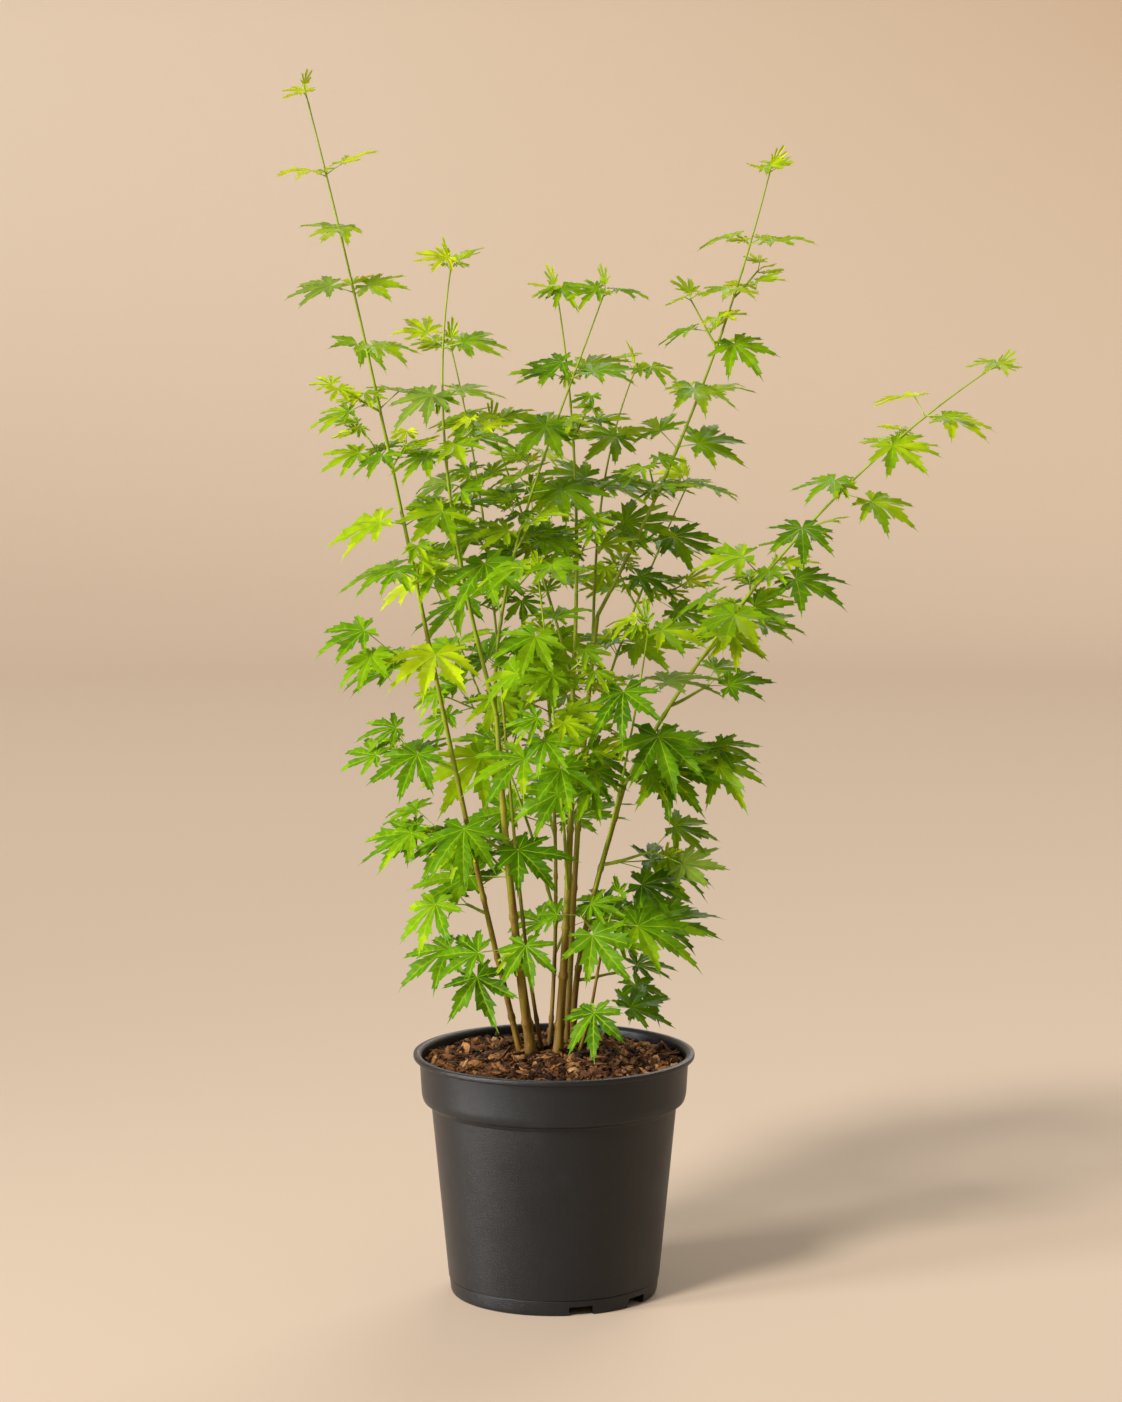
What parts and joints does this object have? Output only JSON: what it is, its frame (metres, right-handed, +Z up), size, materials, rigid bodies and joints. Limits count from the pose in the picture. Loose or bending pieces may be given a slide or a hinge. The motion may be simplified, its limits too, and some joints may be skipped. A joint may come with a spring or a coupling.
{
  "type": "potted japanese maple",
  "caption": "Young potted japanese maple: a clump of slim stems that fork into leafy shoots with deeply cut leaves, in a round tapered nursery pot of bark compost.",
  "frame": {"origin": "centre of the flat underside of the pot, on the floor it stands on", "axes": "+Z up along the pot's axis, +X towards the side the longest slanting shoot leans to, -Y towards the front"},
  "size_m": [0.5812, 0.3522, 0.9728],
  "materials": {
    "pot_plastic": "matte charcoal-black moulded plastic",
    "compost": "moist red-brown bark compost",
    "stem_bark": "smooth olive-brown bark",
    "green_wood": "smooth green young wood",
    "leaves": "thin satin green leaf blades with lime and yellow young growth"
  },
  "bodies": {
    "root": {"back_bough": "green_wood", "back_bough_leaves": "leaves", "back_left_shoot": "leaves", "centre_back_shoot": "leaves", "centre_bough": "green_wood", "centre_bough_leaves": "leaves", "centre_shoot": "leaves", "centre_trunk": "stem_bark", "crossing_bough": "green_wood", "crossing_bough_leaves": "leaves", "front_bough": "green_wood", "front_bough_leaves": "leaves", "front_left_shoot": "leaves", "front_right_bough": "green_wood", "front_right_bough_leaves": "leaves", "inner_bough": "green_wood", "inner_bough_leaves": "leaves", "left_bough": "green_wood", "left_bough_leaves": "leaves", "left_leader": "stem_bark", "left_leader_leaves": "leaves", "left_shoot_1": "leaves", "left_shoot_2": "leaves", "left_shoot_3": "leaves", "left_shoot_4": "leaves", "left_trunk": "stem_bark", "left_trunk_shoot": "leaves", "low_left_shoot": "leaves", "low_right_shoot": "leaves", "pot": "pot_plastic", "rear_left_bough": "green_wood", "rear_left_bough_leaves": "leaves", "rear_right_bough": "green_wood", "rear_right_bough_leaves": "leaves", "rear_shoot": "leaves", "rear_stem": "stem_bark", "rear_stem_leaves": "leaves", "right_back_shoot": "leaves", "right_bough": "green_wood", "right_bough_leaves": "leaves", "right_diagonal": "stem_bark", "right_fork_shoot": "leaves", "right_leader": "green_wood", "right_leader_leaves": "leaves", "right_shoot_1": "leaves", "right_shoot_2": "leaves", "right_shoot_3": "leaves", "right_shoot_4": "leaves", "right_stem": "stem_bark", "short_right_stem": "stem_bark", "short_right_stem_leaves": "leaves", "slim_left_stem": "stem_bark", "slim_left_stem_leaves": "leaves", "soil": "compost"}
  },
  "joints": []
}
